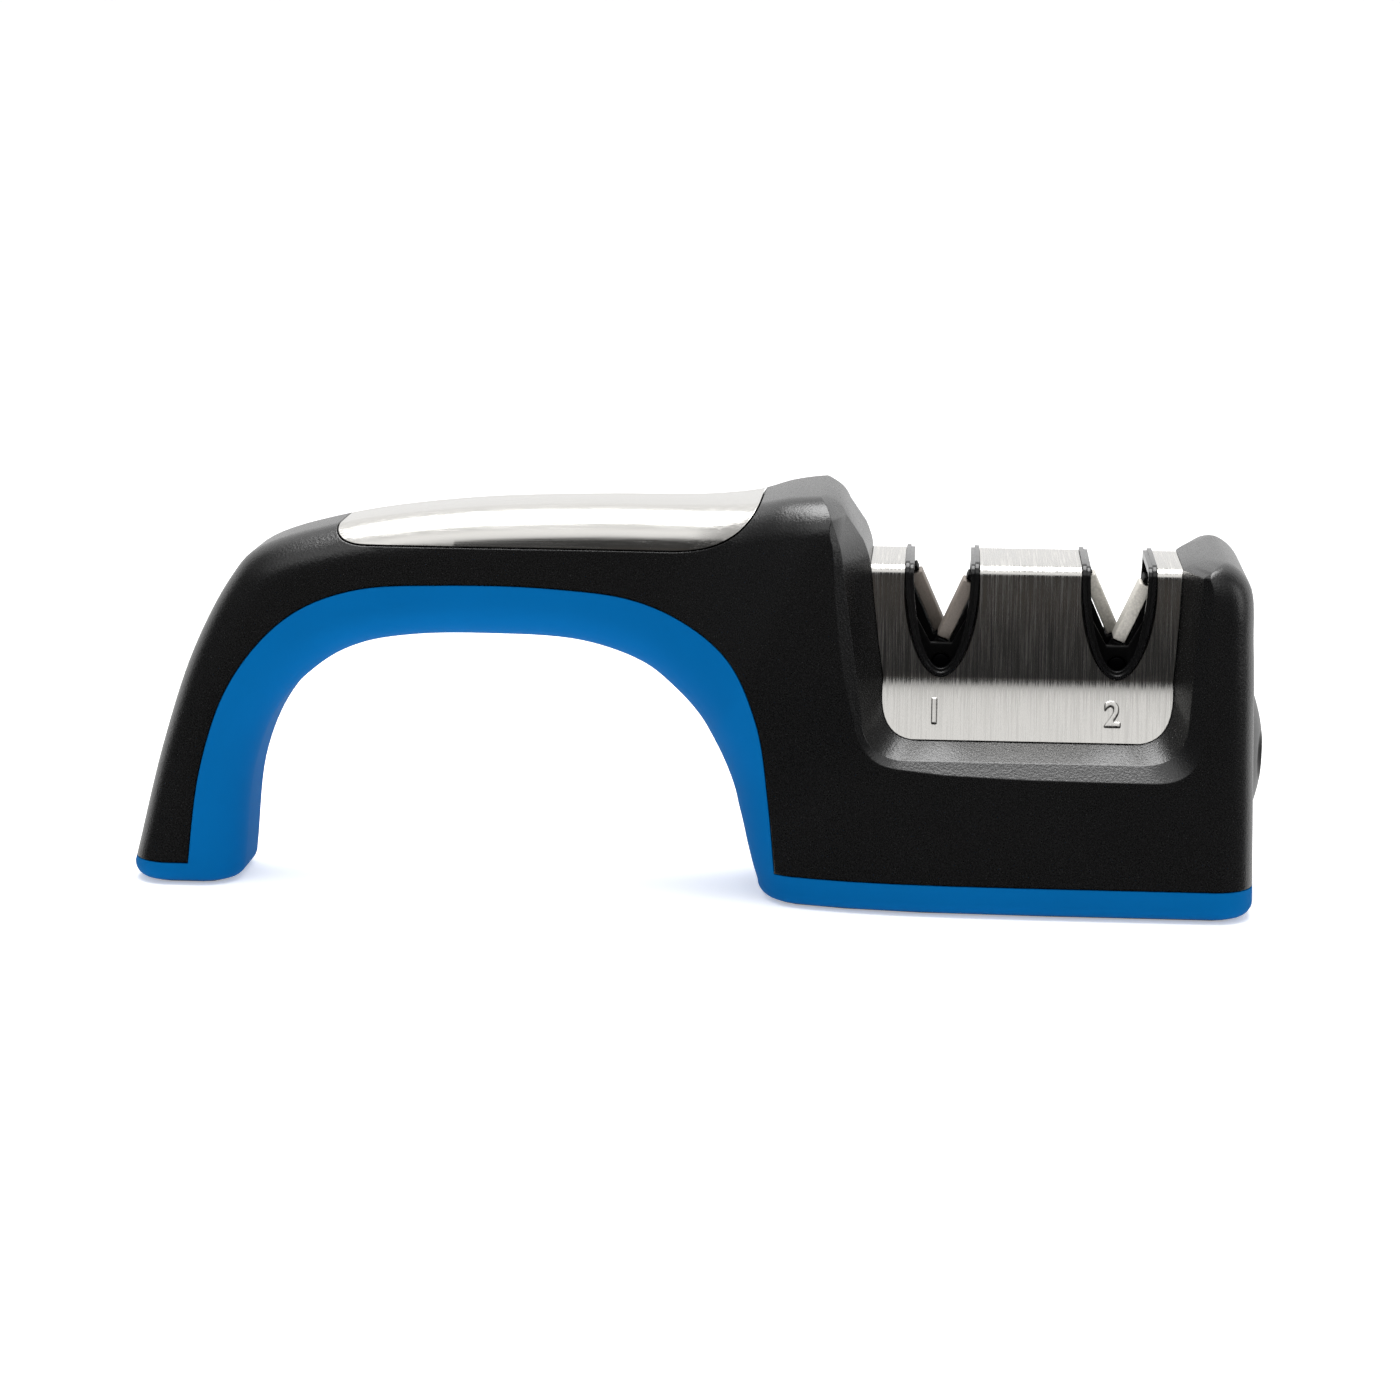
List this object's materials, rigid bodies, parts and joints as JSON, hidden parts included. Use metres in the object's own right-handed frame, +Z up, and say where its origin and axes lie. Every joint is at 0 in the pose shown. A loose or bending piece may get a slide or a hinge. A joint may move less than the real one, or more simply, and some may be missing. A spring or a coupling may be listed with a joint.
{
  "type": "knife sharpener",
  "caption": "Free-standing pull-through knife sharpener with an arched handle, a slotted steel head holding crossed sticks, and an end dial that sets the sharpening angle.",
  "frame": {"origin": "middle of the footprint, on the worktop", "axes": "+Z up from the worktop, +X from the handle's foot to the sharpening head, +Y from the front to the back"},
  "size_m": [0.2111, 0.046, 0.0757],
  "materials": {
    "black_abs": "fine moulded grain, satin",
    "blue_grip": "soft-touch moulded, matte",
    "brushed_steel": "fine vertical brushing",
    "gloss_black": "gloss moulded",
    "grey_nylon": "moulded",
    "zinc_steel": "zinc plated",
    "black_steel": "black oxide",
    "brass": "machined",
    "dark_rubber": "matte",
    "diamond_grit": "steel plate coated with diamond grit",
    "white_ceramic": "fine sintered ceramic"
  },
  "bodies": {
    "housing": {"upper_shell": "black_abs", "lower_shell": "blue_grip", "handle_inlay": "brushed_steel", "slot_cover": "brushed_steel", "coarse_slot_liner": "gloss_black", "fine_slot_liner": "gloss_black", "chassis": "black_abs", "base_pad": "dark_rubber", "foot_pad": "dark_rubber", "case_screw_1": "zinc_steel", "case_screw_2": "zinc_steel", "case_screw_3": "zinc_steel", "case_screw_4": "zinc_steel", "case_screw_5": "zinc_steel", "chassis_screw_1": "zinc_steel", "chassis_screw_2": "zinc_steel", "spindle_bush": "brass", "coarse_pivot_pin": "black_steel", "fine_pivot_pin": "black_steel"},
    "dial": {"angle_dial": "black_abs", "friction_ring": "dark_rubber", "spindle": "zinc_steel", "spindle_clip": "zinc_steel", "drive_pinion": "brass"},
    "cam": {"cam_plate": "grey_nylon"},
    "coarse_front": {"coarse_carrier_front": "black_abs", "coarse_stick_front": "diamond_grit"},
    "coarse_rear": {"coarse_carrier_rear": "black_abs", "coarse_stick_rear": "diamond_grit"},
    "fine_front": {"fine_carrier_front": "black_abs", "fine_stick_front": "white_ceramic"},
    "fine_rear": {"fine_carrier_rear": "black_abs", "fine_stick_rear": "white_ceramic"}
  },
  "joints": [
    {"name": "dial_turn", "type": "hinge", "parent": "housing", "child": "dial", "pos_m": [0.1, 0, 0.0279], "axis": [1, 0, 0], "range_deg": [0, 90]},
    {"name": "cam_lift", "type": "slide", "parent": "housing", "child": "cam", "axis": [0, 0, 1], "range_m": [0, 0.00628]},
    {"name": "coarse_front_swing", "type": "hinge", "parent": "housing", "child": "coarse_front", "pos_m": [0.0461, 0, 0.045], "axis": [0, 1, 0], "range_deg": [-10.01, 0]},
    {"name": "coarse_rear_swing", "type": "hinge", "parent": "housing", "child": "coarse_rear", "pos_m": [0.0461, 0, 0.045], "axis": [0, 1, 0], "range_deg": [0, 10.01]},
    {"name": "fine_front_swing", "type": "hinge", "parent": "housing", "child": "fine_front", "pos_m": [0.0781, 0, 0.045], "axis": [0, 1, 0], "range_deg": [-10.01, 0]},
    {"name": "fine_rear_swing", "type": "hinge", "parent": "housing", "child": "fine_rear", "pos_m": [0.0781, 0, 0.045], "axis": [0, 1, 0], "range_deg": [0, 10.01]}
  ],
  "couplings": [
    {"joint": "dial_turn", "follows": "cam_lift", "rad_per_m": 250},
    {"joint": "coarse_front_swing", "follows": "cam_lift", "rad_per_m": -27.779},
    {"joint": "coarse_rear_swing", "follows": "cam_lift", "rad_per_m": 27.779},
    {"joint": "fine_front_swing", "follows": "cam_lift", "rad_per_m": -27.779},
    {"joint": "fine_rear_swing", "follows": "cam_lift", "rad_per_m": 27.779}
  ]
}
